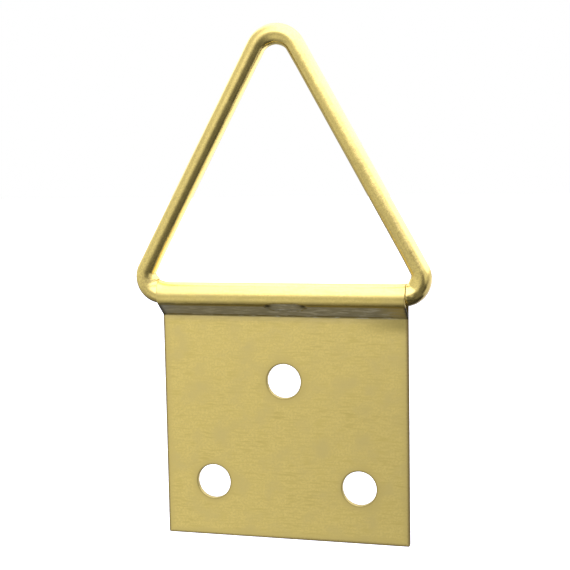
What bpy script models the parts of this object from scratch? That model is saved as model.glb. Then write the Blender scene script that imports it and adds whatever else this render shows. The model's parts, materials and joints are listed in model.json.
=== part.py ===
"""Triangle picture hanger: a bent wire ring that swings in the fold of a doubled sheet plate.

Units are metres, +Z is up and the front faces -Y. The origin is the middle of the screw pattern on the
plate's back face, which is the face that lies on a picture frame.
"""

import math

import bmesh
import bpy
from mathutils import Vector

MM = 0.001

# Plate: one strip of thin sheet, folded double over the base bar of the ring
PLATE_WIDTH = 30.0 * MM
SHEET = 0.26 * MM
LAYER_GAP = 0.03 * MM
CORNER_RADIUS = 0.2 * MM

# Screw holes: one on the centre line above a pair
HOLE_DIAMETER = 4.1 * MM
HOLE_SPACING = 18.05 * MM
HOLE_RISE = 12.6 * MM
EDGE_MARGIN = 6.68 * MM

# Fold: the eye round the wire and the neck below it
AXIS_RISE = 10.4 * MM
PIVOT_CLEARANCE = 0.09 * MM
NECK_ANGLE = math.radians(52.0)
NECK_BEND = 0.6 * MM

# Press mark across the middle of the neck
PRESS_WIDTH = 4.4 * MM
PRESS_DEPTH = 0.07 * MM

# Ring: one round wire bent to a triangle, its two ends facing each other inside the fold
WIRE_DIAMETER = 2.25 * MM
BASE_ANGLE = math.radians(61.2)
CORNER_BEND = 2.1 * MM
APEX_BEND = 2.65 * MM
WIRE_END_GAP = 0.4 * MM

# Fineness of the round stretches
FOLD_STEPS = 40
NECK_STEPS = 8
CORNER_STEPS = 4
HOLE_SIDES = 48
WIRE_SIDES = 32
BEND_STEPS = 14

# Sizes that follow from the ones above
HALF_WIDTH = PLATE_WIDTH / 2
WIRE_RADIUS = WIRE_DIAMETER / 2
EYE_RADIUS = WIRE_RADIUS + PIVOT_CLEARANCE
FOLD_RADIUS = EYE_RADIUS + SHEET
PLATE_THICKNESS = 2 * SHEET + LAYER_GAP
LOWER_HOLES_Z = -HOLE_RISE / 3
TOP_HOLE_Z = LOWER_HOLES_Z + HOLE_RISE
BOTTOM_Z = LOWER_HOLES_Z - EDGE_MARGIN
AXIS_Z = TOP_HOLE_Z + AXIS_RISE
AXIS_Y = -FOLD_RADIUS
# The bends start so far inside the eye that the wire has risen by half its clearance at the eye's ends.
BAR_HALF = HALF_WIDTH - math.sqrt((CORNER_BEND - WIRE_RADIUS) * PIVOT_CLEARANCE)

PLATE_COLOUR = (0.66, 0.52, 0.22)
RING_COLOUR = (0.78, 0.66, 0.32)


def clear_scene():
    """Remove every object, so the script can run again in the same file."""
    for item in list(bpy.data.objects):
        bpy.data.objects.remove(item, do_unlink=True)


def brass(name, colour, roughness):
    """A plated brass finish."""
    material = bpy.data.materials.new(name)
    material.use_nodes = True
    shader = material.node_tree.nodes["Principled BSDF"]
    shader.inputs["Base Color"].default_value = (*colour, 1.0)
    shader.inputs["Metallic"].default_value = 1.0
    shader.inputs["Roughness"].default_value = roughness
    return material


def add_object(name, data, location=(0.0, 0.0, 0.0)):
    """Link a named object to the scene."""
    item = bpy.data.objects.new(name, data)
    item.location = location
    bpy.context.collection.objects.link(item)
    return item


def cut(target, cutter):
    """Subtract a cutter from a piece and keep the cutter as a hidden guide."""
    cutter.hide_render = True
    cutter.display_type = "WIRE"
    modifier = target.modifiers.new(cutter.name, "BOOLEAN")
    modifier.operation = "DIFFERENCE"
    modifier.solver = "EXACT"
    modifier.object = cutter


def strip_path():
    """Points (y, z) along the middle of the sheet: up the back, round the wire and down the front."""
    middle = EYE_RADIUS + SHEET / 2
    front_y = -(1.5 * SHEET + LAYER_GAP)
    outward_y = -math.cos(NECK_ANGLE)
    outward_z = -math.sin(NECK_ANGLE)
    # The neck leaves the eye and meets the front layer along one straight, tangent to both bends.
    bend_y = front_y - NECK_BEND
    reach = (bend_y - AXIS_Y) * outward_y - (middle + NECK_BEND)
    bend_z = AXIS_Z - reach / outward_z

    points = [(-SHEET / 2, BOTTOM_Z)]
    sweep = math.pi + NECK_ANGLE
    for step in range(FOLD_STEPS + 1):
        angle = sweep * step / FOLD_STEPS
        points.append((AXIS_Y + middle * math.cos(angle), AXIS_Z + middle * math.sin(angle)))
    for step in range(NECK_STEPS + 1):
        angle = NECK_ANGLE * (1 - step / NECK_STEPS)
        points.append((bend_y + NECK_BEND * math.cos(angle), bend_z + NECK_BEND * math.sin(angle)))
    points.append((front_y, BOTTOM_Z))
    return points


def plate_sheet():
    """The folded strip as a surface without thickness, its free corners rounded."""
    model = bmesh.new()
    left = [model.verts.new((-HALF_WIDTH, y, z)) for y, z in strip_path()]
    edges = [model.edges.new(pair) for pair in zip(left, left[1:])]
    swept = bmesh.ops.extrude_edge_only(model, edges=edges)["geom"]
    right = [item for item in swept if isinstance(item, bmesh.types.BMVert)]
    bmesh.ops.translate(model, verts=right, vec=(PLATE_WIDTH, 0.0, 0.0))
    corners = [vert for vert in model.verts if len(vert.link_edges) == 2]
    bmesh.ops.bevel(
        model,
        geom=corners,
        offset=CORNER_RADIUS,
        segments=CORNER_STEPS,
        profile=0.5,
        affect="VERTICES",
    )
    bmesh.ops.recalc_face_normals(model, faces=model.faces)
    mesh = bpy.data.meshes.new("hanger_plate")
    model.to_mesh(mesh)
    model.free()
    return mesh


def hole_cutter(name, centre):
    """A cylinder along Y that reaches past both faces of the folded plate."""
    model = bmesh.new()
    bmesh.ops.create_cone(
        model,
        cap_ends=True,
        segments=HOLE_SIDES,
        radius1=HOLE_DIAMETER / 2,
        radius2=HOLE_DIAMETER / 2,
        depth=4 * PLATE_THICKNESS,
    )
    for vert in model.verts:
        vert.co = Vector((vert.co.x, vert.co.z, -vert.co.y))
    bmesh.ops.recalc_face_normals(model, faces=model.faces)
    mesh = bpy.data.meshes.new(name)
    model.to_mesh(mesh)
    model.free()
    return add_object(name, mesh, (centre[0], 0.0, centre[1]))


def press_cutter():
    """A bar that lies on the neck and bites its depth into the sheet at mid width."""
    model = bmesh.new()
    bmesh.ops.create_cube(model, size=1.0)
    bmesh.ops.scale(model, vec=(PRESS_WIDTH, FOLD_RADIUS, 2 * FOLD_RADIUS), verts=model.verts)
    mesh = bpy.data.meshes.new("press_cutter")
    model.to_mesh(mesh)
    model.free()
    stand_off = FOLD_RADIUS - PRESS_DEPTH + FOLD_RADIUS / 2
    away = Vector((0.0, -math.cos(NECK_ANGLE), -math.sin(NECK_ANGLE)))
    cutter = add_object("press_cutter", mesh, Vector((0.0, AXIS_Y, AXIS_Z)) + stand_off * away)
    cutter.rotation_euler = (NECK_ANGLE, 0.0, 0.0)
    return cutter


def build_plate():
    """The doubled plate with its eye, screw holes and press mark."""
    mesh = plate_sheet()
    mesh.materials.append(brass("plate_brass", PLATE_COLOUR, 0.38))
    mesh.shade_smooth()
    mesh.set_sharp_from_angle(angle=math.radians(30.0))
    plate = add_object("hanger_plate", mesh)

    wall = plate.modifiers.new("sheet", "SOLIDIFY")
    wall.thickness = SHEET
    wall.offset = 0.0
    wall.use_even_offset = True

    holes = {
        "hole_top": (0.0, TOP_HOLE_Z),
        "hole_left": (-HOLE_SPACING / 2, LOWER_HOLES_Z),
        "hole_right": (HOLE_SPACING / 2, LOWER_HOLES_Z),
    }
    for name, centre in holes.items():
        cut(plate, hole_cutter(name, centre))

    cut(plate, press_cutter())
    return plate


def bend(points, centre, radius, start, turn):
    """Append an arc of the wire's centre line, in (x, z) about the hinge axis."""
    for step in range(BEND_STEPS + 1):
        angle = start + turn * step / BEND_STEPS
        points.append((centre[0] + radius * math.cos(angle), centre[1] + radius * math.sin(angle)))


def ring_path():
    """Centre line of the wire, from its right end in the fold, round the triangle to its left end."""
    corner_turn = math.pi - BASE_ANGLE
    corner_x = BAR_HALF + CORNER_BEND * math.tan(corner_turn / 2)
    apex_z = corner_x * math.tan(BASE_ANGLE)
    apex_centre_z = apex_z - APEX_BEND / math.cos(BASE_ANGLE)

    points = [(WIRE_END_GAP / 2, 0.0)]
    bend(points, (BAR_HALF, CORNER_BEND), CORNER_BEND, -math.pi / 2, corner_turn)
    bend(points, (0.0, apex_centre_z), APEX_BEND, math.pi / 2 - BASE_ANGLE, 2 * BASE_ANGLE)
    bend(points, (-BAR_HALF, CORNER_BEND), CORNER_BEND, math.pi / 2 + BASE_ANGLE, corner_turn)
    points.append((-WIRE_END_GAP / 2, 0.0))
    return points


def build_ring():
    """The triangular wire ring, its origin on the hinge axis."""
    curve = bpy.data.curves.new("triangle_ring", "CURVE")
    curve.dimensions = "3D"
    curve.bevel_depth = WIRE_RADIUS
    curve.bevel_resolution = WIRE_SIDES // 2 - 2
    curve.use_fill_caps = True
    path = ring_path()
    spline = curve.splines.new("POLY")
    spline.points.add(len(path) - 1)
    for point, (x, z) in zip(spline.points, path):
        point.co = (x, 0.0, z, 1.0)
    curve.materials.append(brass("ring_brass", RING_COLOUR, 0.22))
    return add_object("triangle_ring", curve, (0.0, AXIS_Y, AXIS_Z))


def main():
    clear_scene()
    hanger = add_object("hanger", None)
    for piece in (build_plate(), build_ring()):
        piece.parent = hanger


main()
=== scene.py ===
# %% [markdown]
# # A triangle picture hanger in brass
# The real object has two pieces. One is a strip of thin brass sheet, folded double and punched with
# three screw holes. The other is a wire triangle whose base bar is caught in the fold, where it swings.
# The frame holds both as plain solids at their real size. This lesson models each piece again with fine
# curves and worked edges, gives it a metal finish and lights it like a small product shot.

# %% Load the frame
import json
import math

import bmesh
import bpy
from mathutils import Matrix, Vector


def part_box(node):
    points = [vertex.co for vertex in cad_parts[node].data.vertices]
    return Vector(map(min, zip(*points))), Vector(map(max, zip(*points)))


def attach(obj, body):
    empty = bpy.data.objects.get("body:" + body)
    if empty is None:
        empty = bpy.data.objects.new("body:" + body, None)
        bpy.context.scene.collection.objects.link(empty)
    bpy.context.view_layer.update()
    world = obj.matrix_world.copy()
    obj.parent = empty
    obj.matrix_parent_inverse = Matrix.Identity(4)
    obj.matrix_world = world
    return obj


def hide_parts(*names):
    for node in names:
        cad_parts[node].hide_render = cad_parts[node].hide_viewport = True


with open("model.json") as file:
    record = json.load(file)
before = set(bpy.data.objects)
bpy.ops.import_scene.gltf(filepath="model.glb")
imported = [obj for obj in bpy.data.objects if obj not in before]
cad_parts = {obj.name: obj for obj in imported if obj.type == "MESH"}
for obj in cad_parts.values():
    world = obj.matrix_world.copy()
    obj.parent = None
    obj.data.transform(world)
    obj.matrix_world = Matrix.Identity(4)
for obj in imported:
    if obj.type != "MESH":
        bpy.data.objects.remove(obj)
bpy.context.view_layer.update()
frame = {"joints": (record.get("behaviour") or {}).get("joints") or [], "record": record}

bpy.ops.object.select_all(action="DESELECT")

# %% [markdown]
# ## Sizes
# Most sizes can be read from the frame: the hinge line from its joint, the wire from the ring's box,
# the plate's outline from the plate's box, and the thickness of the folded plate from its front mount.
# What a box can't show, such as bend radii and the screw pattern, is named here in millimetres.

# %% Sizes read from the frame, and the few that are named
MM = 0.001
plate_low, plate_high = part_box("hanger_plate")
ring_low, ring_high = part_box("triangle_ring")
mounts = {mount["name"]: Vector(mount["pos_m"]) for mount in frame["record"]["mounts"]}
hinge = Vector(frame["joints"][0]["pos_m"])

half_width = plate_high.x
bottom_z = plate_low.z
plate_thickness = -mounts["plate_front"].y
layer_gap = 0.03 * MM
sheet = (plate_thickness - layer_gap) / 2
fold_radius = -hinge.y
wire_radius = (ring_high.y - ring_low.y) / 2

hole_radius = 2.05 * MM
hole_spacing = 18.05 * MM
hole_rise = 12.6 * MM
hole_places = [
    Vector((0.0, 0.0, hole_rise * 2 / 3)),
    Vector((-hole_spacing / 2, 0.0, -hole_rise / 3)),
    Vector((hole_spacing / 2, 0.0, -hole_rise / 3)),
]
neck_angle = math.radians(52.0)
neck_bend = 0.6 * MM
base_angle = math.radians(61.2)
corner_bend = 2.1 * MM
apex_bend = 2.65 * MM
wire_gap = 0.4 * MM
print(f"sheet {sheet / MM:.2f} mm, wire {2 * wire_radius / MM:.2f} mm, fold {fold_radius / MM:.3f} mm")

# %% [markdown]
# ## Camera
# The photograph looks at the hanger from a little to the right and a little above, through a long lens,
# and the object leans by about one degree in the picture. The camera is turned round the object by
# those angles and set back until the plate fills the same part of the frame.

# %% Camera
view_azimuth = math.radians(15.20)
view_elevation = math.radians(5.85)
view_roll = math.radians(-1.04)
view_target = Vector((0.23, 0.0, 19.88)) * MM
view_distance = 142.15 * MM
near_limit = 10 * MM
sensor_width = 36.0
focal_length_px = 1200
picture_px = 570

turn = (
    Matrix.Rotation(view_azimuth, 4, "Z")
    @ Matrix.Rotation(math.pi / 2 - view_elevation, 4, "X")
    @ Matrix.Rotation(view_roll, 4, "Z")
)
set_back = Matrix.Translation((0.0, 0.0, view_distance))
bpy.ops.object.camera_add()
camera = bpy.context.object
camera.name = "camera"
camera.matrix_world = Matrix.Translation(view_target) @ turn @ set_back
camera.data.sensor_width = sensor_width
camera.data.lens = sensor_width * focal_length_px / picture_px
camera.data.clip_start = near_limit
bpy.context.scene.camera = camera
print("camera at", [round(value / MM, 1) for value in camera.matrix_world.translation], "mm")

# %% [markdown]
# ## Helpers for working in edit mode
# Every edit starts by picking some points, edges or faces by where they are, as a modeller does with
# the mouse. Two more helpers pull an edge out and apply a modifier.

# %% Helpers for modelling
tiny = 0.001 * MM


def pick(kind, test):
    """Select the points, edges or faces of the piece in edit mode that pass a test."""
    bpy.ops.mesh.select_mode(type=kind)
    bpy.ops.mesh.select_all(action="DESELECT")
    mesh = bpy.context.edit_object.data
    model = bmesh.from_edit_mesh(mesh)
    items = {"VERT": model.verts, "EDGE": model.edges, "FACE": model.faces}[kind]
    for item in items:
        if test(item):
            item.select_set(True)
    model.select_flush_mode()
    bmesh.update_edit_mesh(mesh)
    return sum(item.select for item in items)


def extrude(step):
    """Pull the selected edges out by a step."""
    bpy.ops.mesh.extrude_region_move(TRANSFORM_OT_translate={"value": step})


def apply_modifier(piece, kind, **settings):
    """Add a modifier with its settings and apply it."""
    modifier = piece.modifiers.new(kind.lower(), kind)
    for name, value in settings.items():
        setattr(modifier, name, value)
    bpy.context.view_layer.objects.active = piece
    bpy.ops.object.modifier_apply(modifier=modifier.name)


print(f"helpers ready, places count as the same within {tiny / MM} mm")

# %% [markdown]
# ## The wire ring
# The ring is one length of drawn wire, bent at three places. A curve with a round bevel would do, but
# its sections crowd in the bends. Here a circle is swept by hand instead: pulled along each straight
# and spun round each bend. The route is a short list, because the finish follows the wire later and
# reads the same list.

# %% Wire ring: the route round the triangle
corner_steps = 64
apex_steps = 28

corner_turn = math.pi - base_angle
pivot_clearance = fold_radius - sheet - wire_radius
bar_half = half_width - math.sqrt((corner_bend - wire_radius) * pivot_clearance)
corner_x = bar_half + corner_bend * math.tan(corner_turn / 2)
apex_z = corner_x * math.tan(base_angle) - apex_bend / math.cos(base_angle)
leg_length = corner_x / math.cos(base_angle) - corner_bend * math.tan(corner_turn / 2)
leg_length -= apex_bend * math.tan(base_angle)
bar_length = bar_half - wire_gap / 2

# A straight is its length. A bend is its middle, seen from the hinge line, its radius, its turn and its
# steps.
wire_route = [
    bar_length,
    (Vector((bar_half, 0.0, corner_bend)), corner_bend, corner_turn, corner_steps),
    leg_length,
    (Vector((0.0, 0.0, apex_z)), apex_bend, 2 * base_angle, apex_steps),
    leg_length,
    (Vector((-bar_half, 0.0, corner_bend)), corner_bend, corner_turn, corner_steps),
    bar_length,
]
print(f"leg {leg_length / MM:.2f} mm, apex middle {apex_z / MM:.2f} mm above the hinge")

# %% [markdown]
# The section starts as a circle at the right-hand wire end, facing along the base bar. Following the
# list brings it round the triangle to the left-hand end. The spin operator turns it about each bend's
# own middle, so the bends come out truly round.

# %% Wire ring: sweep the section
wire_sides = 48
straight_steps = 12


def heading(angle):
    """The wire's direction after it has turned to the left by an angle."""
    return Vector((math.cos(angle), 0.0, math.sin(angle)))


bpy.ops.mesh.primitive_circle_add(
    vertices=wire_sides,
    radius=wire_radius,
    location=hinge + Vector((wire_gap / 2, 0.0, 0.0)),
    rotation=(0.0, math.pi / 2, 0.0),
)
ring = bpy.context.object
ring.name = "wire_triangle"
bpy.ops.object.transform_apply(location=True, rotation=True, scale=True)
bpy.ops.object.mode_set(mode="EDIT")
turned = 0.0
for stretch in wire_route:
    if isinstance(stretch, float):
        for _ in range(straight_steps):
            extrude(heading(turned) * (stretch / straight_steps))
    else:
        middle, radius, turn_angle, steps = stretch
        bpy.ops.mesh.spin(steps=steps, angle=turn_angle, center=hinge + middle, axis=(0.0, 1.0, 0.0))
        turned += turn_angle
print(f"turned {math.degrees(turned):.1f} degrees in all")

# %% [markdown]
# The two cut ends face each other inside the fold. They are closed and get the small chamfer of a
# cropped wire. Their rims are the only sharp edges, so they can be picked by the angle between the
# faces.

# %% Wire ring: close and chamfer the cut ends
wire_chamfer = 0.14 * MM
sharp_angle = math.radians(60)
wire_smooth_angle = math.radians(35)


def is_sharp(edge):
    """True where two faces meet at about a right angle."""
    return edge.calc_face_angle(0.0) > sharp_angle


bpy.ops.mesh.select_all(action="SELECT")
bpy.ops.mesh.fill_holes(sides=0)
bpy.ops.mesh.normals_make_consistent(inside=False)
pick("EDGE", is_sharp)
bpy.ops.mesh.bevel(offset=wire_chamfer, segments=2, affect="EDGES")
bpy.ops.object.mode_set(mode="OBJECT")
bpy.ops.object.shade_smooth_by_angle(angle=wire_smooth_angle)
print("ring", len(ring.data.vertices), "points,", len(ring.data.polygons), "faces")

# %% [markdown]
# ## The folded plate
# The plate starts as the strip it is on the real object. The back layer is a grid of one row. Its upper
# edge is spun round the wire, runs down the neck, bends back and runs down the front. Only then does
# the sheet get its thickness, so the two layers keep the narrow seam between them. A block with cuts
# would not give the eye and the neck their true shape.

# %% Folded plate: the strip as a surface
fold_steps = 72
neck_steps = 12
run_steps = 14
columns = 140

middle_radius = fold_radius - sheet / 2
front_y = -(1.5 * sheet + layer_gap)
neck_out = Vector((0.0, -math.cos(neck_angle), -math.sin(neck_angle)))
neck_down = Vector((0.0, math.sin(neck_angle), -math.cos(neck_angle)))
bend_y = front_y - neck_bend
bend_reach = (bend_y - hinge.y) * neck_out.y - (middle_radius + neck_bend)
bend_middle = Vector((0.0, bend_y, hinge.z - bend_reach / neck_out.z))
run_start = hinge + neck_out * middle_radius
run_length = (bend_middle - neck_out * neck_bend - run_start).length

bpy.ops.mesh.primitive_grid_add(
    x_subdivisions=columns,
    y_subdivisions=1,
    size=1.0,
    location=(0.0, -sheet / 2, (bottom_z + hinge.z) / 2),
    rotation=(math.pi / 2, 0.0, 0.0),
)
plate = bpy.context.object
plate.name = "folded_plate"
plate.scale = (2 * half_width, hinge.z - bottom_z, 1.0)
bpy.ops.object.transform_apply(location=True, rotation=True, scale=True)
bpy.ops.object.mode_set(mode="EDIT")
pick("EDGE", lambda edge: all(point.co.z > hinge.z - tiny for point in edge.verts))
bpy.ops.mesh.spin(steps=fold_steps, angle=math.pi + neck_angle, center=hinge, axis=(-1.0, 0.0, 0.0))
for _ in range(run_steps):
    extrude(neck_down * (run_length / run_steps))
bpy.ops.mesh.spin(steps=neck_steps, angle=neck_angle, center=bend_middle, axis=(1.0, 0.0, 0.0))
extrude((0.0, 0.0, bottom_z - bend_middle.z))
print(f"neck run {run_length / MM:.2f} mm, front layer starts at z {bend_middle.z / MM:.2f} mm")

# %% [markdown]
# The flat layers need no columns, so each is dissolved to one face, which keeps the punched holes
# clean. The free corners get the small radius of a sheared strip before the sheet is thickened.

# %% Folded plate: flat layers, corners and thickness
corner_radius = 0.2 * MM
facing_limit = 0.9999


def in_layer(face, layer_y):
    """True for a face of the flat layer whose middle surface lies at layer_y."""
    return abs(face.calc_center_median().y - layer_y) < tiny and abs(face.normal.y) > facing_limit


for layer_y in (-sheet / 2, front_y):
    pick("FACE", lambda face: in_layer(face, layer_y))
    bpy.ops.mesh.dissolve_faces()
pick("VERT", lambda point: point.co.z < bottom_z + tiny and abs(point.co.x) < half_width - tiny)
bpy.ops.mesh.dissolve_verts()
pick("VERT", lambda point: point.co.z < bottom_z + tiny)
bpy.ops.mesh.bevel(offset=corner_radius, segments=5, affect="VERTICES")
bpy.ops.mesh.select_all(action="SELECT")
bpy.ops.mesh.normals_make_consistent(inside=False)
bpy.ops.object.mode_set(mode="OBJECT")
apply_modifier(plate, "SOLIDIFY", thickness=sheet, offset=0.0, use_even_offset=True)
print("plate after thickening", len(plate.data.polygons), "faces")

# %% [markdown]
# The holes are punched through both layers at once, so each is one cylinder taken away from the folded
# sheet.

# %% Folded plate: punch the three holes
hole_sides = 96

for place in hole_places:
    bpy.ops.object.select_all(action="DESELECT")
    bpy.ops.mesh.primitive_cylinder_add(
        vertices=hole_sides,
        radius=hole_radius,
        depth=4 * plate_thickness,
        location=place,
        rotation=(math.pi / 2, 0.0, 0.0),
    )
    punch = bpy.context.object
    apply_modifier(plate, "BOOLEAN", operation="DIFFERENCE", solver="EXACT", object=punch)
    bpy.data.objects.remove(punch, do_unlink=True)
print("plate after punching", len(plate.data.polygons), "faces")

# %% [markdown]
# A short bar was pressed into the neck near its middle to hold the fold shut round the wire ends. It
# left a flat that reaches up the eye, with a deeper pit at each end. A boolean cut would leave hard
# edges, so every point of the outer skin that the bar would reach is pushed back to the bar's face
# instead. How far a point was rubbed and pitted is kept in an attribute, because the finish changes
# there.

# %% Folded plate: the press mark on the neck
press_middle = 0.8 * MM
press_half = 1.3 * MM
press_side = 1.0 * MM
press_depth = 0.09 * MM
press_reach = 1.3 * MM
pit_place = 2.15 * MM
pit_width = 0.4 * MM
pit_drop = 0.1 * MM
pit_height = 0.4 * MM
pit_depth = 0.1 * MM
rub_depth = 0.06 * MM


def ease(value, low, high):
    """A soft step from 0 at low to 1 at high."""
    share = min(1.0, max(0.0, (value - low) / (high - low)))
    return share * share * (3 - 2 * share)


def hump(value, middle, width):
    """A round hump, 1 at its middle."""
    return math.exp(-(((value - middle) / width) ** 2))


def press(point):
    """Push a point of the neck's outer skin back to the bar's face; gives its rub and its pit."""
    out = (point - hinge).dot(neck_out)
    down = (point - hinge).dot(neck_down)
    across = abs(point.x - press_middle)
    if out < middle_radius or abs(down) > press_reach:
        return 0.0, 0.0
    pit = hump(across, pit_place, pit_width) * hump(down, pit_drop, pit_height)
    depth = press_depth * ease(across, press_half + press_side, press_half)
    depth *= ease(down, press_reach, press_reach / 2)
    excess = out - (fold_radius - depth - pit_depth * pit)
    if excess <= 0:
        return 0.0, 0.0
    point -= neck_out * excess
    return min(1.0, excess / rub_depth), pit


bpy.ops.object.select_all(action="DESELECT")
plate.select_set(True)
bpy.context.view_layer.objects.active = plate
press_mark = plate.data.attributes.new("press_mark", "FLOAT_VECTOR", "POINT")
for point in plate.data.vertices:
    press_mark.data[point.index].vector = (*press(point.co), 0.0)
print("points pressed back", sum(item.vector.x > 0 for item in press_mark.data))

# %% [markdown]
# Sheared and punched sheet has no sharp edges: the ends of the eye are rounded a little, the punch
# rolls the front rim of each hole over, and every other edge is dulled. Three bevels do this in that
# order, the last one on whatever is still sharp.

# %% Folded plate: rolled rims and dulled edges
mouth_round = 0.06 * MM
rim_roll = 0.1 * MM
edge_dull = 0.05 * MM
front_face_y = -plate_thickness


def on_mouth(edge):
    """True for an edge of the eye's outer skin at one of its two ends."""
    for point in edge.verts:
        arm = point.co - hinge
        behind = arm.y > 0 and arm.z < -tiny
        if abs(point.co.x) < half_width - tiny or behind or point.co.z < run_start.z:
            return False
        if math.hypot(arm.y, arm.z) < fold_radius - 2 * tiny:
            return False
    return True


def on_front_rim(edge):
    """True for an edge of a hole's rim on the front face."""
    for point in edge.verts:
        if abs(point.co.y - front_face_y) > tiny:
            return False
        if min(abs((point.co - place).xz.length - hole_radius) for place in hole_places) > 10 * tiny:
            return False
    return True


bpy.ops.object.mode_set(mode="EDIT")
mouth_count = pick("EDGE", on_mouth)
bpy.ops.mesh.bevel(offset=mouth_round, segments=4, affect="EDGES")
rim_count = pick("EDGE", on_front_rim)
bpy.ops.mesh.bevel(offset=rim_roll, segments=4, affect="EDGES")
sharp_count = pick("EDGE", is_sharp)
bpy.ops.mesh.bevel(offset=edge_dull, segments=2, affect="EDGES")
bpy.ops.object.mode_set(mode="OBJECT")
print("edges: mouths", mouth_count, "rims", rim_count, "others", sharp_count)

# %% [markdown]
# The wire starts to bend just inside the two ends of the eye, and closing the fold pushed the sheet out
# a little over those bends, more on the left. Both skins are moved outwards together near each end,
# most at the top. This comes after the bevels, which find the ends of the eye by their radius. The
# shape of the plate is then complete, so it gets its smooth shading here.

# %% Folded plate: the mouths of the eye
mouth_length = 1.4 * MM
left_mouth_lift = 0.28 * MM
right_mouth_lift = 0.1 * MM
plate_smooth_angle = math.radians(40)


def open_mouth(point):
    """Move a point of the eye's upper half outwards if it is near one of the ends."""
    arm = Vector((0.0, point.y - hinge.y, point.z - hinge.z))
    near_end = (abs(point.x) - half_width + mouth_length) / mouth_length
    if arm.z <= 0 or near_end <= 0:
        return False
    top_share = (arm.z / arm.length) ** 2
    lift = left_mouth_lift if point.x < 0 else right_mouth_lift
    point += arm.normalized() * (lift * near_end**2 * top_share)
    return True


print("points moved at the mouths", sum(open_mouth(point.co) for point in plate.data.vertices))
bpy.ops.object.shade_smooth_by_angle(angle=plate_smooth_angle)
apply_modifier(plate, "WEIGHTED_NORMAL", keep_sharp=True)
print("plate", len(plate.data.vertices), "points,", len(plate.data.polygons), "faces")

# %% [markdown]
# ## Where each point lay on the straight wire
# Drawn wire carries fine lines along its length, and they go round the bends with it. Object
# coordinates run straight through the triangle, so they can't give that. Each point of the ring is
# therefore traced back to its place on the wire before it was bent: how far along, how far to the back,
# and how far out in the plane of the triangle. The three numbers are kept on the mesh as an attribute,
# which a material can read.

# %% Wire ring: trace the points back along the route
def straight_place(point):
    """The place of a ring point on the wire before bending."""
    best_miss = math.inf
    travelled = 0.0
    turned = 0.0
    start = Vector((wire_gap / 2, 0.0, 0.0))
    for stretch in wire_route:
        if isinstance(stretch, float):
            length = stretch
            along = (point - start).dot(heading(turned))
            out = (point - start).dot(heading(turned - math.pi / 2))
            start = start + heading(turned) * length
        else:
            middle, radius, turn_angle, _ = stretch
            length = radius * turn_angle
            arm = point - middle
            angle = math.atan2(arm.z, arm.x) - turned + math.pi / 2
            along = radius * ((angle + math.pi) % (2 * math.pi) - math.pi)
            out = math.hypot(arm.x, arm.z) - radius
            turned += turn_angle
            start = middle + heading(turned - math.pi / 2) * radius
        miss = math.hypot(out, point.y) + max(0.0, -along, along - length)
        if miss < best_miss:
            best_miss = miss
            place = Vector((travelled + min(length, max(0.0, along)), point.y, out))
        travelled += length
    return place


wire_place = ring.data.attributes.new("wire_place", "FLOAT_VECTOR", "POINT")
for point in ring.data.vertices:
    wire_place.data[point.index].vector = straight_place(point.co - hinge)
wire_length = max(item.vector.x for item in wire_place.data)
print(f"wire length before bending {wire_length / MM:.1f} mm")

# %% [markdown]
# Wire that is bent this tightly is upset: on the inside of the bend the metal is crowded and swells,
# most at the lower left corner and least at the apex. With the straight place known, the swelling is
# easy to put where it belongs.

# %% Wire ring: upset insides of the bends
left_upset = 0.62 * MM
right_upset = 0.32 * MM
corner_rise = (0.5 * MM, 2.2 * MM)
corner_fall = (5.0 * MM, 2.5 * MM)
apex_upset = 0.2 * MM
apex_fall = (3.6 * MM, 0.6 * MM)
apex_middle = hinge + Vector((0.0, 0.0, apex_z))


def upset(point, along, out):
    """Swell a point on the inside of a bend towards the bend's middle; gives how far."""
    from_end = min(along, wire_length - along)
    past_bar = from_end - bar_length
    before_apex = wire_length / 2 - from_end
    swell = left_upset if point.x < 0 else right_upset
    swell *= ease(past_bar, *corner_rise) * ease(past_bar, *corner_fall)
    middle = hinge + Vector((math.copysign(bar_half, point.x), 0.0, corner_bend))
    apex_swell = apex_upset * ease(before_apex, *apex_fall)
    if apex_swell > swell:
        middle, swell = apex_middle, apex_swell
    swell *= max(0.0, -out / wire_radius) ** 2
    inwards = Vector((middle.x - point.x, 0.0, middle.z - point.z)).normalized()
    point += inwards * swell
    return swell


swollen = 0
for point in ring.data.vertices:
    along, _, out = wire_place.data[point.index].vector
    swollen += upset(point.co, along, out) > 0
print("points of the bends swollen", swollen)

# %% [markdown]
# Just outside the eye the wire fills up to the level of the sheet's outer skin, so that fold and wire
# run on nearly flush. On the left it does so near the top only, and on the right over the whole upper
# half. The filling starts a hair outside the eye, so the ring still swings free.

# %% Wire ring: shoulders beside the mouths
shoulder_rise = (0.03 * MM, 0.06 * MM)
left_shoulder_fall = (1.3 * MM, 0.3 * MM)
right_shoulder_fall = (1.4 * MM, 0.1 * MM)
left_shoulder_side = (0.7, 1.0)
right_shoulder_side = (-0.6, 0.1)


def fill_to_mouth(point):
    """Raise a point just outside the eye to the level of the eye's outer skin; gives how far."""
    arm = Vector((0.0, point.y - hinge.y, point.z - hinge.z))
    beyond = abs(point.x) - half_width
    up_share = arm.z / arm.length
    if point.x < 0:
        lift, fall, side = left_mouth_lift, left_shoulder_fall, left_shoulder_side
    else:
        lift, fall, side = right_mouth_lift, right_shoulder_fall, right_shoulder_side
    level = fold_radius + lift * max(0.0, up_share) ** 2
    share = ease(beyond, *shoulder_rise) * ease(beyond, *fall) * ease(up_share, *side)
    filled = max(0.0, level - arm.length) * share
    point += arm.normalized() * filled
    return filled


print("points of the shoulders raised", sum(fill_to_mouth(point.co) > 0 for point in ring.data.vertices))

# %% [markdown]
# ## Node groups for metal
# Both pieces are brass and share the same flaws, so the flaws are built once as node groups and placed
# in each material with their own values. Small helpers keep the node code short: the first adds a node
# and fills its sockets with numbers or links, and the others add the kinds that are needed most.

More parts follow.
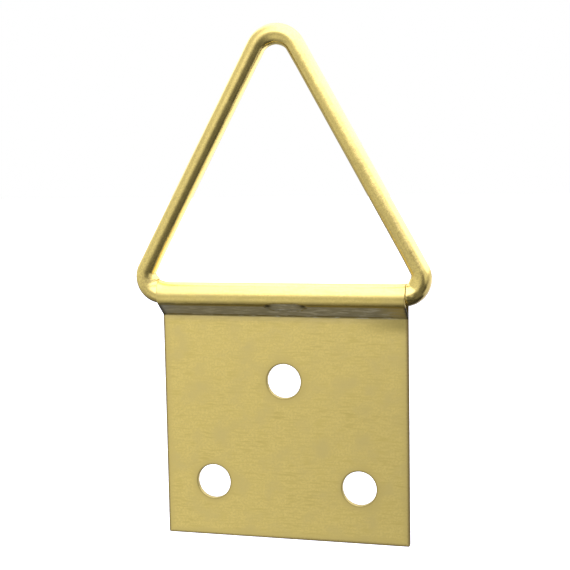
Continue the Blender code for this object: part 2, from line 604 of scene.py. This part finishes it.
# %% Helpers for node trees
MIX_A, MIX_B, MIX_RESULT = 6, 7, 2


def add_node(tree, kind, sockets=None, **settings):
    """Add a node, set its properties, and set or link its sockets by name or number."""
    item = tree.nodes.new(kind)
    for name, value in settings.items():
        setattr(item, name, value)
    for name, value in (sockets or {}).items():
        if isinstance(value, bpy.types.NodeSocket):
            tree.links.new(value, item.inputs[name])
        else:
            item.inputs[name].default_value = value
    return item


def maths(tree, operation, first, second=0.0):
    """One step of arithmetic."""
    return add_node(tree, "ShaderNodeMath", {0: first, 1: second}, operation=operation).outputs[0]


def times(tree, first, *more):
    """Values multiplied, or masks that have to hold together."""
    for second in more:
        first = maths(tree, "MULTIPLY", first, second)
    return first


def measure(tree, operation, first, second):
    """One number from two places or directions."""
    sockets = {0: first, 1: second}
    return add_node(tree, "ShaderNodeVectorMath", sockets, operation=operation).outputs["Value"]


def fade(tree, value, low, high, at_low=0.0, at_high=1.0):
    """A soft step from one value to another, as value goes from low to high."""
    sockets = {"Value": value, "From Min": low, "From Max": high, "To Min": at_low, "To Max": at_high}
    item = add_node(tree, "ShaderNodeMapRange", sockets, interpolation_type="SMOOTHSTEP")
    return item.outputs["Result"]


def mix(tree, share, first, second, blend="MIX"):
    """Mix two colours."""
    sockets = {0: share, MIX_A: first, MIX_B: second}
    item = add_node(tree, "ShaderNodeMix", sockets, data_type="RGBA", blend_type=blend)
    return item.outputs[MIX_RESULT]


def new_group(name, inputs, outputs):
    """A shader node group with named sockets; gives the group, its inputs and its outputs."""
    group = bpy.data.node_groups.new(name, "ShaderNodeTree")
    for in_out, sockets in (("INPUT", inputs), ("OUTPUT", outputs)):
        for socket, kind in sockets.items():
            group.interface.new_socket(socket, in_out=in_out, socket_type="NodeSocket" + kind)
    given = group.nodes.new("NodeGroupInput").outputs
    result = group.nodes.new("NodeGroupOutput").inputs
    return group, given, result


print("colours go into sockets", MIX_A, "and", MIX_B, "of a Mix node")

# %% [markdown]
# The grain of worked brass has two parts. A fine mottle covers it evenly, and longer streaks follow the
# direction in which the metal was rolled or drawn. Both are noise, the second one stretched along the
# first axis of the place.

# %% Node group: metal grain
mottle_detail = 4.0
streak_detail = 2.0

metal_grain, given, result = new_group(
    "metal_grain",
    {"Place": "Vector", "Grain Size": "Float", "Streak Length": "Float"},
    {"Mottle": "Float", "Streak": "Float"},
)
fineness = maths(metal_grain, "DIVIDE", 1.0, given["Grain Size"])
sockets = {0: given["Place"], "Scale": fineness}
fine_place = add_node(metal_grain, "ShaderNodeVectorMath", sockets, operation="SCALE").outputs[0]
shortening = maths(metal_grain, "DIVIDE", 1.0, given["Streak Length"])
squeeze = add_node(metal_grain, "ShaderNodeCombineXYZ", {0: shortening, 1: 1.0, 2: 1.0}).outputs[0]
sockets = {0: fine_place, 1: squeeze}
long_place = add_node(metal_grain, "ShaderNodeVectorMath", sockets, operation="MULTIPLY").outputs[0]
noises = ((fine_place, mottle_detail, "Mottle"), (long_place, streak_detail, "Streak"))
for place, detail, output in noises:
    noise = add_node(metal_grain, "ShaderNodeTexNoise", {"Vector": place, "Scale": 1.0, "Detail": detail})
    metal_grain.links.new(noise.outputs[0], result[output])
print("group", metal_grain.name, "with", len(metal_grain.nodes), "nodes")

# %% [markdown]
# Sheared edges, punched rims and rubbed lines are darker than the open face. The band group turns a
# distance into a mask that is full on the line and dies away over a width, with a ragged edge that
# follows the grain.

# %% Node group: dark band
noise_middle = 0.5

dark_band, given, result = new_group(
    "dark_band",
    {"Distance": "Float", "Width": "Float", "Ragged": "Float", "Mottle": "Float"},
    {"Mask": "Float"},
)
off_middle = maths(dark_band, "SUBTRACT", given["Mottle"], noise_middle)
unevenness = times(dark_band, off_middle, given["Ragged"])
reach = times(dark_band, given["Width"], maths(dark_band, "ADD", unevenness, 1.0))
dark_band.links.new(fade(dark_band, given["Distance"], 0.0, reach, 1.0, 0.0), result["Mask"])
print("group", dark_band.name, "with", len(dark_band.nodes), "nodes")

# %% [markdown]
# The last group puts a colour together: clean metal, and tarnished metal where the mask says so.
# Tarnish is never even, so the grain gives it a play of light and dark.

# %% Node group: worn colour
worn_colour, given, result = new_group(
    "worn_colour",
    {"Clean": "Color", "Tarnished": "Color", "Mask": "Float", "Grain": "Float", "Play": "Float"},
    {"Colour": "Color"},
)
off_middle = maths(worn_colour, "SUBTRACT", given["Grain"], noise_middle)
swing = times(worn_colour, off_middle, given["Play"])
shade = maths(worn_colour, "ADD", swing, 1.0)
uneven = mix(worn_colour, 1.0, given["Tarnished"], shade, "MULTIPLY")
worn_colour.links.new(mix(worn_colour, given["Mask"], given["Clean"], uneven), result["Colour"])
print("group", worn_colour.name, "with", len(worn_colour.nodes), "nodes")

# %% [markdown]
# A finish is a stack of masks and colours. These helpers place the three groups in a material, add a
# bump, combine masks and give a piece its material. The finishes below can then be read as a list of
# what happened to the metal.

# %% Helpers for materials
def group_node(tree, group, sockets):
    """Place a node group in a material and set or link its sockets; gives its outputs."""
    return add_node(tree, "ShaderNodeGroup", sockets, node_tree=group).outputs


def grain_of(tree, place, size, length):
    """Metal grain of a size, its streaks so many times as long as wide."""
    return group_node(tree, metal_grain, {"Place": place, "Grain Size": size, "Streak Length": length})


def band(tree, distance, width, ragged, mottle):
    """The mask of a dark band."""
    sockets = {"Distance": distance, "Width": width, "Ragged": ragged, "Mottle": mottle}
    return group_node(tree, dark_band, sockets)["Mask"]


def wear(tree, clean, tarnished, mask, grain, play):
    """A colour that is tarnished where the mask says so."""
    sockets = {"Clean": clean, "Tarnished": tarnished, "Mask": mask, "Grain": grain, "Play": play}
    return group_node(tree, worn_colour, sockets)["Colour"]


def bump(tree, height, strength, depth, normal=None):
    """The normal of a fine relief, laid over another normal if there is one."""
    sockets = {"Height": height, "Strength": strength, "Distance": depth}
    if normal is not None:
        sockets["Normal"] = normal
    return add_node(tree, "ShaderNodeBump", sockets).outputs["Normal"]


def opposite(tree, mask):
    """What a mask leaves free."""
    return maths(tree, "SUBTRACT", 1.0, mask)


def apart(tree, first, second):
    """How far two values are apart."""
    return maths(tree, "ABSOLUTE", maths(tree, "SUBTRACT", first, second))


def new_material(name):
    """A material with its node tree and its Principled shader."""
    material = bpy.data.materials.new(name)
    material.use_nodes = True
    return material, material.node_tree, material.node_tree.nodes["Principled BSDF"]


def dress(piece, material):
    """Give a piece its only material."""
    piece.data.materials.clear()
    piece.data.materials.append(material)


print("node groups ready:", metal_grain.name, dark_band.name, worn_colour.name)

# %% [markdown]
# ## Ring finish
# The wire is smooth, bright brass. It has faint lines along its length, a few duller patches, and a
# faint line of dirt where it comes out of the fold. The outsides of the two lower bends get a painted
# dark reflection, further up on the right: their colour is darkened to stand for dark surroundings
# that they reflect. All of this reads the place on the straight wire, so it follows the bends.

# %% Ring finish: grain, the dirt line and the painted dark reflection on the bends
draw_line_size = 0.22 * MM
draw_line_length = 16.0
wire_patch_size = 2.6 * MM
wire_patch_length = 3.0
dirt_width = 0.18 * MM
dirt_ragged = 1.5
right_reflection_end = 4.6 * MM
left_reflection_end = 2.5 * MM
full_reflection_part = 0.4
right_reflection_share = 0.9
left_reflection_share = 1.0
reflection_side = (0.5 * wire_radius, 0.85 * wire_radius)
right_to_left = (0.4 * wire_length, 0.6 * wire_length)

ring_brass, tree, shader = new_material("ring_brass")
place = add_node(tree, "ShaderNodeAttribute", attribute_name="wire_place").outputs["Vector"]
grain = grain_of(tree, place, draw_line_size, draw_line_length)
patches = grain_of(tree, place, wire_patch_size, wire_patch_length)
wire_parts = add_node(tree, "ShaderNodeSeparateXYZ", {0: place}).outputs
along, out = wire_parts["X"], wire_parts["Z"]
from_end = maths(tree, "MINIMUM", along, maths(tree, "SUBTRACT", wire_length, along))
from_mouth = apart(tree, from_end, half_width - wire_gap / 2)
dirt = band(tree, from_mouth, dirt_width, dirt_ragged, grain["Mottle"])
# Painted dark reflection: the outsides of the two lower bends are darkened in colour, standing for dark
# surroundings that they reflect.
past_bar = maths(tree, "SUBTRACT", from_end, bar_length)
reflection_end = fade(tree, along, *right_to_left, right_reflection_end, left_reflection_end)
reflection_share = fade(tree, along, *right_to_left, right_reflection_share, left_reflection_share)
below_end = fade(tree, past_bar, times(tree, reflection_end, full_reflection_part), reflection_end, 1.0, 0.0)
press_rub_and_bend_reflection = times(tree, below_end, fade(tree, out, *reflection_side), reflection_share)
print("marks on the wire from", len(tree.nodes), "nodes")

# %% [markdown]
# The colour is built up from clean brass: first the fine specks and the patches, then the dirt, then
# the painted dark reflection on the outsides of the lower bends.

# %% Ring finish: colour
clean_wire = (0.82, 0.655, 0.215, 1.0)
dull_wire = (0.66, 0.52, 0.18, 1.0)
# The darkest colour is the painted dark reflection on the bends.
painted_reflection_wire = (0.2, 0.155, 0.05, 1.0)
speck_noise = (0.36, 0.64)
speck_share = 0.75
patch_noise = (0.4, 0.8)
patch_share = 0.4
dirt_share = 0.3
dull_play = 0.3
dirt_play = 0.1
reflection_play = 0.4

specks = fade(tree, grain["Mottle"], *speck_noise, 0.0, speck_share)
dull = maths(tree, "ADD", specks, fade(tree, patches["Streak"], *patch_noise, 0.0, patch_share))
colour = wear(tree, clean_wire, dull_wire, dull, grain["Streak"], dull_play)
colour = wear(tree, colour, dull_wire, times(tree, dirt, dirt_share), grain["Mottle"], dirt_play)
colour = wear(tree, colour, painted_reflection_wire, press_rub_and_bend_reflection, grain["Mottle"], reflection_play)
tree.links.new(colour, shader.inputs["Base Color"])
print("wire from", clean_wire[:3], "to", painted_reflection_wire[:3])

# %% [markdown]
# Drawing and tumbling leave the wire glossy but not like a mirror. Its gloss changes from patch to
# patch, and two bumps give it long shallow waves and fine lines, which break up the edges of the
# reflections.

# %% Ring finish: gloss and relief
gloss_noise = (0.3, 0.7)
wire_roughness = (0.17, 0.27)
wave_depth = 0.12 * MM
wave_strength = 0.5
line_depth = 0.01 * MM
line_strength = 0.25

roughness = fade(tree, patches["Mottle"], *gloss_noise, *wire_roughness)
tree.links.new(roughness, shader.inputs["Roughness"])
waves = bump(tree, patches["Mottle"], wave_strength, wave_depth)
fine_lines = bump(tree, grain["Streak"], line_strength, line_depth, waves)
tree.links.new(fine_lines, shader.inputs["Normal"])
shader.inputs["Metallic"].default_value = 1.0
dress(ring, ring_brass)
print("ring finish with", len(tree.nodes), "nodes")

# %% [markdown]
# ## Plate finish
# The sheet is satin: rolled, then tumbled, so its grain runs across the plate in short streaks and its
# gloss is softer than the wire's. Its sheared sides are dark and torn, the rims of the holes a little
# lighter, and towards every cut the face gets painted shade where it dishes. The first step measures
# how far a point is from those cuts. Object coordinates do for that, because the plate is flat.

# %% Plate finish: distances from the cut edges
plate_brass, tree, shader = new_material("plate_brass")
object_place = add_node(tree, "ShaderNodeTexCoord").outputs["Object"]
parts = add_node(tree, "ShaderNodeSeparateXYZ", {0: object_place}).outputs
flat_place = add_node(tree, "ShaderNodeCombineXYZ", {0: parts["X"], 2: parts["Z"]}).outputs[0]
from_side = maths(tree, "SUBTRACT", half_width, maths(tree, "ABSOLUTE", parts["X"]))
from_foot = maths(tree, "SUBTRACT", parts["Z"], bottom_z)
from_edge = maths(tree, "MINIMUM", from_side, from_foot)
from_hole = 2 * half_width
for place in hole_places:
    from_rim = maths(tree, "SUBTRACT", measure(tree, "DISTANCE", flat_place, place), hole_radius)
    from_hole = maths(tree, "MINIMUM", from_rim, from_hole)
print("edge distances from", len(tree.nodes), "nodes")

# %% [markdown]
# Where the neck was bent, the bright skin has gone to a dull grey film with paler flecks. It covers the
# slope of the neck on the front, reaches up the eye where the press mark rubbed it, and thins out at
# the right end. The foot of the bend isn't quite level, so heights there are measured along a slight
# tilt.

# %% Plate finish: grain and the grey film
roll_line_size = 0.26 * MM
roll_line_length = 7.0
sheet_patch_size = 3.0 * MM
sheet_patch_length = 2.0
bruise_size = 0.3 * MM
bruise_length = 5.0
front_depths = (front_face_y + 0.25 * MM, front_face_y + 0.05 * MM)
film_top = 17.61 * MM
film_foot = 16.18 * MM
film_soft = 0.08 * MM
foot_tilt = -0.0035
worn_end = (11.0 * MM, 15.0 * MM)
worn_end_film = 0.4
fleck_noise = (0.5, 0.66)
left_flecks = 0.25

grain = grain_of(tree, object_place, roll_line_size, roll_line_length)
patches = grain_of(tree, object_place, sheet_patch_size, sheet_patch_length)
bruise = grain_of(tree, object_place, bruise_size, bruise_length)
press_place = add_node(tree, "ShaderNodeAttribute", attribute_name="press_mark").outputs["Vector"]
press_parts = add_node(tree, "ShaderNodeSeparateXYZ", {0: press_place}).outputs
press_rub_and_bend_reflection, pitted = press_parts["X"], press_parts["Y"]
in_front = fade(tree, parts["Y"], *front_depths)
tilted_height = maths(tree, "SUBTRACT", parts["Z"], times(tree, parts["X"], foot_tilt))
below_top = fade(tree, parts["Z"], film_top + film_soft, film_top - film_soft)
below_top = maths(tree, "MAXIMUM", below_top, press_rub_and_bend_reflection)
above_foot = fade(tree, tilted_height, film_foot - 2 * film_soft, film_foot + film_soft)
neck = times(tree, in_front, below_top, above_foot)
film = times(tree, neck, fade(tree, parts["X"], *worn_end, 1.0, worn_end_film))
flecks = times(tree, film, fade(tree, bruise["Streak"], *fleck_noise))
flecks = times(tree, flecks, fade(tree, parts["X"], -half_width, half_width / 2, left_flecks, 1.0))
print("film on the neck from", len(tree.nodes), "nodes")

# %% [markdown]
# A line of painted shade runs along the top of the film, in the crease under the eye, and another
# along its foot, in the hollow of the bend. The upper one stops at the press mark, whose own outline
# is dark instead, and it is weaker on the right.

# %% Plate finish: painted shade lines on the neck
top_line_height = 17.72 * MM
top_line_width = 0.3 * MM
right_top_line = 0.7
foot_line_height = 16.24 * MM
foot_line_width = 0.24 * MM
foot_line_noise = (0.7, 0.45)
faintest_foot_line = 0.3
line_ragged = 2.0
outline_start = (0.1, 0.4)
outline_end = (0.8, 0.4)
outline_noise = (0.4, 0.6)


def neck_line(place, height, width):
    """A ragged line of painted shade across the neck where a place reaches a height."""
    from_line = apart(tree, place, height)
    return times(tree, in_front, band(tree, from_line, width, line_ragged, bruise["Streak"]))


# Painted shade lines: the top one in the crease under the eye, the foot one in the hollow of the bend.
top_line = times(tree, neck_line(parts["Z"], top_line_height, top_line_width), opposite(tree, press_rub_and_bend_reflection))
top_line = times(tree, top_line, fade(tree, parts["X"], 0.0, half_width / 2, 1.0, right_top_line))
outline = times(tree, fade(tree, press_rub_and_bend_reflection, *outline_start), fade(tree, press_rub_and_bend_reflection, *outline_end))
outline = times(tree, outline, fade(tree, bruise["Mottle"], *outline_noise))
foot_line = neck_line(tilted_height, foot_line_height, foot_line_width)
foot_line = times(tree, foot_line, fade(tree, bruise["Streak"], *foot_line_noise, faintest_foot_line))
lines = maths(tree, "MAXIMUM", maths(tree, "MAXIMUM", top_line, foot_line), outline)
print("lines on the neck from", len(tree.nodes), "nodes")

# %% [markdown]
# Below the neck the face is darker for about two millimetres: a narrow painted shade right under the
# bend, darker streaks that reach further down, and a deeper painted shade in the right corner.

# %% Plate finish: painted shade and darker streaks below the neck
shade_heights = (15.2 * MM, 16.1 * MM)
shade_share = 0.7
corner_shade_heights = (13.8 * MM, 15.6 * MM)
streak_heights = (14.6 * MM, 16.2 * MM)
streak_noise = (0.48, 0.62)

under_neck = times(tree, in_front, opposite(tree, above_foot))
# Painted shade right under the bend of the neck.
shaded = times(tree, under_neck, fade(tree, tilted_height, *shade_heights, 0.0, shade_share))
# Painted shade in the right corner, under the end of the neck.
corner = times(tree, under_neck, fade(tree, parts["X"], half_width / 2, half_width))
corner = times(tree, corner, fade(tree, tilted_height, *corner_shade_heights))
streaks = times(tree, under_neck, fade(tree, tilted_height, *streak_heights))
streaks = times(tree, streaks, fade(tree, bruise["Streak"], *streak_noise))
print("stains from", len(tree.nodes), "nodes")

# %% [markdown]
# The cut edges are dark bands along the distances measured above. The band along the sheared sides
# is wider on the right, where the extra width is painted shade along the right margin. The band at
# the ends of the neck is painted shade, where the rounded ends reflect the dark ground; it is wider
# on the left, and both bands stop where the eye begins. A wide band of painted shade lies on the face
# where it dishes towards every cut.

# %% Plate finish: dark cuts
left_to_right = (-half_width / 2, half_width / 2)
edge_widths = (0.34 * MM, 0.46 * MM)
edge_top = (hinge.z - fold_radius, hinge.z - fold_radius / 2)
rim_width = 0.3 * MM
neck_end_shade_widths = (0.7 * MM, 0.25 * MM)
cut_ragged = 0.8
dish_shade_width = 1.2 * MM
dish_shade_ragged = 1.0

# The sheared sides are dark tarnish; the extra width on the right is painted shade along the right
# margin.
edge_width = fade(tree, parts["X"], *left_to_right, *edge_widths)
edges = band(tree, from_edge, edge_width, cut_ragged, grain["Mottle"])
edges = times(tree, edges, fade(tree, parts["Z"], *edge_top, 1.0, 0.0))
rims = band(tree, from_hole, rim_width, cut_ragged, grain["Mottle"])
# Painted shade where the face dishes towards every cut.
from_cut = maths(tree, "MINIMUM", from_edge, from_hole)
dish_shade = band(tree, from_cut, dish_shade_width, dish_shade_ragged, patches["Mottle"])
# Painted shade at the rounded ends of the neck.
neck_end_shade_width = fade(tree, parts["X"], *left_to_right, *neck_end_shade_widths)
neck_end_shade = times(tree, neck, band(tree, from_side, neck_end_shade_width, cut_ragged, grain["Mottle"]))
print("cuts from", len(tree.nodes), "nodes")

# %% [markdown]
# Everything is now put on the clean sheet, one layer over the other: first the grain and the painted
# shade near the cuts, then the darker streaks and the painted shade below the neck, the film, the
# painted shade lines and the pits, and the dark cuts last, with painted shade at the ends of the neck.
# A layer is its colour, its mask, the grain that makes it uneven and how much.

# %% Plate finish: colour in layers
clean_sheet = (0.89, 0.71, 0.235, 1.0)
mottle_noise = (0.35, 0.65)
roll_line_noise = (0.45, 0.7)
sheet_patch_noise = (0.45, 0.75)

mottled = fade(tree, grain["Mottle"], *mottle_noise)
rolled = fade(tree, grain["Streak"], *roll_line_noise)
patched = fade(tree, patches["Mottle"], *sheet_patch_noise)
layers = {
    "fine mottle": ((0.79, 0.63, 0.205, 1.0), mottled, grain["Streak"], 0.1),
    "roll lines": ((0.76, 0.605, 0.185, 1.0), rolled, patches["Streak"], 0.3),
    "dull patches": ((0.77, 0.62, 0.22, 1.0), patched, grain["Streak"], 0.1),
    # painted shade where the face dishes near the cuts
    "painted shade where the face dishes near the cuts": ((0.74, 0.59, 0.20, 1.0), dish_shade, grain["Mottle"], 0.2),
    "streaks below the neck": ((0.70, 0.56, 0.16, 1.0), streaks, bruise["Mottle"], 0.2),
    "shade below the neck": ((0.64, 0.52, 0.22, 1.0), shaded, bruise["Mottle"], 0.1),
    # painted shade in the right corner under the neck
    "painted shade in the right corner": ((0.46, 0.37, 0.12, 1.0), corner, bruise["Mottle"], 0.3),
    "grey film": ((0.34, 0.31, 0.21, 1.0), film, bruise["Streak"], 0.8),
    "flecks in the film": ((0.52, 0.49, 0.38, 1.0), flecks, bruise["Mottle"], 0.4),
    # painted shade lines on the neck, and the outline of the press mark
    "painted shade lines and the press outline": ((0.28, 0.225, 0.08, 1.0), lines, bruise["Mottle"], 0.4),
    # the pits are dark partly from tarnish and partly from painted shade
    "pits of the press mark, tarnish and painted shade": ((0.05, 0.04, 0.012, 1.0), pitted, bruise["Mottle"], 0.2),
    "rims of the holes": ((0.40, 0.32, 0.11, 1.0), rims, grain["Mottle"], 0.3),
    "sheared edges": ((0.20, 0.155, 0.06, 1.0), edges, grain["Mottle"], 0.3),
    # painted shade at the rounded ends of the neck
    "painted shade at the ends of the neck": ((0.04, 0.035, 0.015, 1.0), neck_end_shade, grain["Mottle"], 0.1),
}
colour = clean_sheet
for tarnished, mask, speckle, play in layers.values():
    colour = wear(tree, colour, tarnished, mask, speckle, play)
tree.links.new(colour, shader.inputs["Base Color"])
print(len(layers), "layers on the sheet")

# %% [markdown]
# Worn plating is dull and partly oxidised, so the film is less metallic than the sheet, except on the
# painted shade lines and in the pits, which keep the sheet's metal. It is also a little rougher, and
# the torn edges are much rougher. A slight bump from the mottle keeps the reflections satin.

# %% Plate finish: gloss and relief
film_oxide = 0.6
sheet_roughness = (0.30, 0.35)
torn_roughness = 0.4
film_roughness = 0.12
mottle_depth = 0.01 * MM
mottle_strength = 0.12

off_lines_and_pits = opposite(tree, maths(tree, "MAXIMUM", lines, pitted))
oxide = times(tree, film, off_lines_and_pits, film_oxide)
tree.links.new(opposite(tree, oxide), shader.inputs["Metallic"])
satin = fade(tree, grain["Mottle"], *gloss_noise, *sheet_roughness)
rougher = maths(tree, "MAXIMUM", times(tree, edges, torn_roughness), times(tree, film, film_roughness))
tree.links.new(maths(tree, "ADD", satin, rougher), shader.inputs["Roughness"])
tree.links.new(bump(tree, grain["Mottle"], mottle_strength, mottle_depth), shader.inputs["Normal"])
dress(plate, plate_brass)
print("plate finish with", len(tree.nodes), "nodes")

# %% [markdown]
# ## Joining the frame
# Each new piece rides on the body that its plain solid belongs to and takes that solid's place.

# %% Ride on the bodies
for piece, body, node, slot in (
    (plate, "plate", "hanger_plate", "plate_brass"),
    (ring, "ring", "triangle_ring", "ring_brass"),
):
    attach(piece, body)
    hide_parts(node)
    print(piece.name, "rides on", body)

# %% [markdown]
# ## Floor
# A pale floor lies a little below the hanger, low enough for the ring to hang down in front of the
# plate. It is kept out of the reflections, where it would whiten the dim underside of the metal.

# %% Floor
floor_z = -30 * MM
floor_size = 4.0
floor_colour = (0.85, 0.85, 0.84, 1.0)
floor_roughness = 0.8

bpy.ops.object.select_all(action="DESELECT")
bpy.ops.mesh.primitive_plane_add(size=floor_size, location=(0.0, 0.0, floor_z))
floor = bpy.context.object
floor.name = "floor"
floor.visible_glossy = False
floor.visible_diffuse = False
pale_floor, tree, shader = new_material("pale_floor")
shader.inputs["Base Color"].default_value = floor_colour
shader.inputs["Roughness"].default_value = floor_roughness
dress(floor, pale_floor)
print("floor at", floor_z / MM, "mm")

# %% [markdown]
# ## Studio light
# Polished brass shows its surroundings more than its own colour, so the light is planned as what the
# metal sees. Lamps would give small hard highlights. Instead the world is a soft tent, bright above and
# dimmer towards the ground, made by a ramp over the height of the direction. What is lit brightest has
# the slight blue of daylight. The levels are divided by the brightest one, so that the ramp's colours
# stay between 0 and 1, and its result is multiplied by it again.

# %% Studio light: the tent
brightest = 3.2
daylight_level = 1.2
daylight_blue = 1.18
tent_levels = {
    -90: 0.18,
    -65: 0.38,
    -45: 0.41,
    -30: 0.52,
    -15: 0.44,
    0: 0.87,
    8: 1.2,
    17: 2.5,
    27: 2.7,
}


def lit(level):
    """The colour of a light level, slightly blue where it is bright."""
    blue = level * daylight_blue if level > daylight_level else level
    return level, level, blue, 1.0


world = bpy.data.worlds.new("light_tent")
bpy.context.scene.world = world
world.use_nodes = True
tree = world.node_tree
direction = add_node(tree, "ShaderNodeTexCoord").outputs["Generated"]
height = add_node(tree, "ShaderNodeSeparateXYZ", {0: direction}).outputs["Z"]
sockets = {0: height, 1: 0.5, 2: 0.5}
height_share = add_node(tree, "ShaderNodeMath", sockets, operation="MULTIPLY_ADD").outputs[0]
ramp = add_node(tree, "ShaderNodeValToRGB", {0: height_share})
stops = ramp.color_ramp.elements
while len(stops) < len(tent_levels):
    stops.new(1.0)
for stop, (elevation, level) in zip(stops, tent_levels.items()):
    red, green, blue, _ = lit(level)
    stop.position = (math.sin(math.radians(elevation)) + 1) / 2
    stop.color = (red / brightest, green / brightest, blue / brightest, 1.0)
full_light = (brightest, brightest, brightest, 1.0)
light = mix(tree, 1.0, ramp.outputs["Color"], full_light, "MULTIPLY")
print("tent with", len(stops), "levels")

# %% [markdown]
# Panels stand in the tent, as in a real product shot. Walls and white sheets give the bright stripes,
# the dim corner low in front gives the left leg its dark one, and the dark ground shades the
# undersides. Each panel is laid over the ones before it, so their order counts. The camera looks past
# all this at plain white.

# %% Studio light: panels in the tent
plain_white = (1.0, 1.0, 1.0, 1.0)
# A panel is its azimuth and elevation, the angles where it is full and where it ends, and its level.
panels = {
    "wall behind": (190, 22, 12, 42, 1.25),
    "left wall": (-73, 19, 14, 61, 0.91),
    "white sheet low on the left": (-27, -33, 4, 28, 0.87),
    "white sheet low on the right": (125, -35, 20, 47, 1.7),
    "white wall behind on the right": (148, -24, 12, 27, 2.1),
    "dim corner low in front": (34, -17, 10, 48, 0.17),
    "dark gap beside the sheet": (58, -32, 4, 17, 0.1),
    "dark ground on the right": (90, -74, 26, 33, 0.08),
    "wall on the right": (52, 8, 5, 29, 0.97),
}


def towards(azimuth, elevation):
    """A direction from two angles in degrees: round from the front to the right, and up."""
    round_angle = math.radians(azimuth)
    up_angle = math.radians(elevation)
    flat = math.cos(up_angle)
    return Vector((math.sin(round_angle) * flat, -math.cos(round_angle) * flat, math.sin(up_angle)))


for azimuth, elevation, full_angle, end_angle, level in panels.values():
    facing = measure(tree, "DOT_PRODUCT", direction, towards(azimuth, elevation))
    share = fade(tree, facing, math.cos(math.radians(end_angle)), math.cos(math.radians(full_angle)))
    light = mix(tree, share, light, lit(level))
seen = add_node(tree, "ShaderNodeLightPath").outputs["Is Camera Ray"]
light = mix(tree, seen, light, plain_white)
tree.links.new(light, tree.nodes["Background"].inputs["Color"])
bpy.context.scene.view_settings.view_transform = "Standard"
print(len(panels), "panels in the tent")

# %% [markdown]
# ## Hand over

# %% Hand over
print("handing over", plate.name, "and", ring.name)
